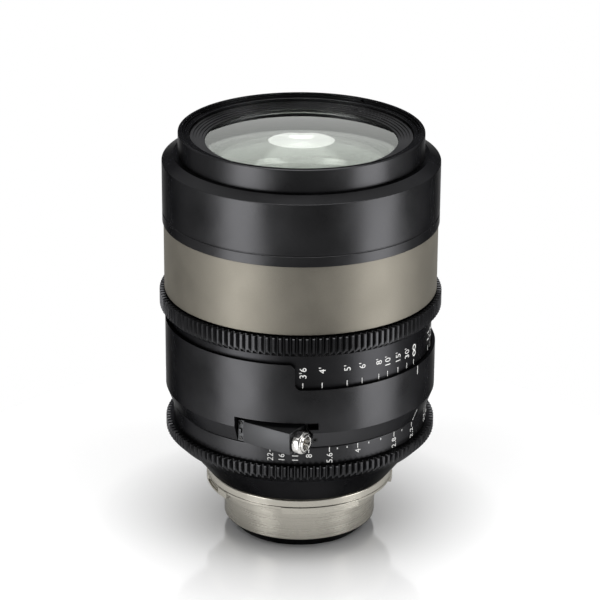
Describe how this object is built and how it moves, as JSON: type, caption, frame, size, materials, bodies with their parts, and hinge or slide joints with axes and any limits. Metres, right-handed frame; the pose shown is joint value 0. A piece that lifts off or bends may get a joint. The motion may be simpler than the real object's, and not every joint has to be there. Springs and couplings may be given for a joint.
{
  "type": "cinema lens",
  "caption": "Prime cinema lens with turning focus and iris rings that carry drive gears, a fixed name band and a breech mount with wings.",
  "frame": {"origin": "centre of the seat, the plane where the wings rest on the camera", "axes": "+Z along the optical axis towards the front glass; -Y towards the side with the scales' zero turn"},
  "size_m": [0.1104, 0.1153, 0.1649],
  "materials": {
    "black_anodised": "satin black anodised",
    "inner_black": "matt black anodised",
    "titanium_grey": "satin, warm grey anodised",
    "rear_trim": "matt black",
    "mount_steel": "fine turned, warm silver",
    "fasteners": "blackened or plain steel",
    "chrome_socket": "polished",
    "contact_gold": "turned brass",
    "board": "circuit board",
    "coated_glass": "coated, polished",
    "blade_steel": "blackened spring steel"
  },
  "bodies": {
    "lens_body": {"front_ring": "black_anodised", "front_retainer": "inner_black", "front_element": "coated_glass", "second_element": "coated_glass", "third_element": "coated_glass", "element_spacer": "inner_black", "front_group_retainer": "inner_black", "front_cell": "inner_black", "front_barrel": "black_anodised", "front_screws": "fasteners", "name_band": "titanium_grey", "inner_barrel": "inner_black", "encoder_board": "board", "main_housing": "black_anodised", "barrel_screws": "fasteners", "housing_screws": "fasteners", "focus_stop": "fasteners", "iris_retainer": "inner_black", "iris_cover": "inner_black", "iris_base": "inner_black", "rear_cell": "inner_black", "rear_element_front": "coated_glass", "rear_element_middle": "coated_glass", "rear_spacer": "inner_black", "rear_element_back": "coated_glass", "rear_retainers": "inner_black", "rear_housing": "black_anodised", "mount_shim": "mount_steel", "mount_flange": "mount_steel", "mount_screws": "fasteners", "rear_baffle": "rear_trim", "data_block": "inner_black", "data_block_screws": "fasteners", "data_socket": "chrome_socket", "data_contacts": "contact_gold", "data_nut": "chrome_socket"},
    "focus_assembly": {"focus_ring": "black_anodised", "focus_gear": "black_anodised", "focus_gear_screws": "fasteners", "cam_sleeve": "fasteners", "encoder_ring": "fasteners"},
    "focus_group": {"focus_cell": "inner_black", "focus_element_front": "coated_glass", "focus_element_back": "coated_glass", "focus_retainers": "inner_black", "cam_followers": "contact_gold"},
    "iris_assembly": {"iris_ring": "black_anodised", "iris_gear": "black_anodised", "iris_gear_screws": "fasteners", "iris_drive_pin": "fasteners", "iris_cam_ring": "fasteners"},
    "blade_1": {"iris_blade_1": "blade_steel"},
    "blade_2": {"iris_blade_2": "blade_steel"},
    "blade_3": {"iris_blade_3": "blade_steel"},
    "blade_4": {"iris_blade_4": "blade_steel"},
    "blade_5": {"iris_blade_5": "blade_steel"},
    "blade_6": {"iris_blade_6": "blade_steel"},
    "blade_7": {"iris_blade_7": "blade_steel"},
    "blade_8": {"iris_blade_8": "blade_steel"},
    "blade_9": {"iris_blade_9": "blade_steel"}
  },
  "joints": [
    {"name": "focus_turn", "type": "hinge", "parent": "lens_body", "child": "focus_assembly", "pos_m": [0, 0, 0.0777], "axis": [0, 0, 1], "range_deg": [0, 110]},
    {"name": "focus_travel", "type": "slide", "parent": "lens_body", "child": "focus_group", "axis": [0, 0, 1], "range_m": [0, 0.008]},
    {"name": "iris_turn", "type": "hinge", "parent": "lens_body", "child": "iris_assembly", "pos_m": [0, 0, 0.0275], "axis": [0, 0, 1], "range_deg": [0, 74]},
    {"name": "blade_1_swing", "type": "hinge", "parent": "lens_body", "child": "blade_1", "pos_m": [0.03268, 0.00459, 0.0235], "axis": [0, 0, 1], "range_deg": [0, 27]},
    {"name": "blade_2_swing", "type": "hinge", "parent": "lens_body", "child": "blade_2", "pos_m": [0.02208, 0.02452, 0.0235], "axis": [0, 0, 1], "range_deg": [0, 27]},
    {"name": "blade_3_swing", "type": "hinge", "parent": "lens_body", "child": "blade_3", "pos_m": [0.00115, 0.03298, 0.0235], "axis": [0, 0, 1], "range_deg": [0, 27]},
    {"name": "blade_4_swing", "type": "hinge", "parent": "lens_body", "child": "blade_4", "pos_m": [-0.02032, 0.026, 0.0235], "axis": [0, 0, 1], "range_deg": [0, 27]},
    {"name": "blade_5_swing", "type": "hinge", "parent": "lens_body", "child": "blade_5", "pos_m": [-0.03228, 0.00686, 0.0235], "axis": [0, 0, 1], "range_deg": [0, 27]},
    {"name": "blade_6_swing", "type": "hinge", "parent": "lens_body", "child": "blade_6", "pos_m": [-0.02914, -0.01549, 0.0235], "axis": [0, 0, 1], "range_deg": [0, 27]},
    {"name": "blade_7_swing", "type": "hinge", "parent": "lens_body", "child": "blade_7", "pos_m": [-0.01236, -0.0306, 0.0235], "axis": [0, 0, 1], "range_deg": [0, 27]},
    {"name": "blade_8_swing", "type": "hinge", "parent": "lens_body", "child": "blade_8", "pos_m": [0.0102, -0.03138, 0.0235], "axis": [0, 0, 1], "range_deg": [0, 27]},
    {"name": "blade_9_swing", "type": "hinge", "parent": "lens_body", "child": "blade_9", "pos_m": [0.02799, -0.01749, 0.0235], "axis": [0, 0, 1], "range_deg": [0, 27]}
  ],
  "couplings": [
    {"joint": "focus_travel", "follows": "focus_turn", "m_per_rad": 0.004166},
    {"joint": "blade_1_swing", "follows": "iris_turn", "ratio": 0.36486},
    {"joint": "blade_2_swing", "follows": "iris_turn", "ratio": 0.36486},
    {"joint": "blade_3_swing", "follows": "iris_turn", "ratio": 0.36486},
    {"joint": "blade_4_swing", "follows": "iris_turn", "ratio": 0.36486},
    {"joint": "blade_5_swing", "follows": "iris_turn", "ratio": 0.36486},
    {"joint": "blade_6_swing", "follows": "iris_turn", "ratio": 0.36486},
    {"joint": "blade_7_swing", "follows": "iris_turn", "ratio": 0.36486},
    {"joint": "blade_8_swing", "follows": "iris_turn", "ratio": 0.36486},
    {"joint": "blade_9_swing", "follows": "iris_turn", "ratio": 0.36486}
  ]
}
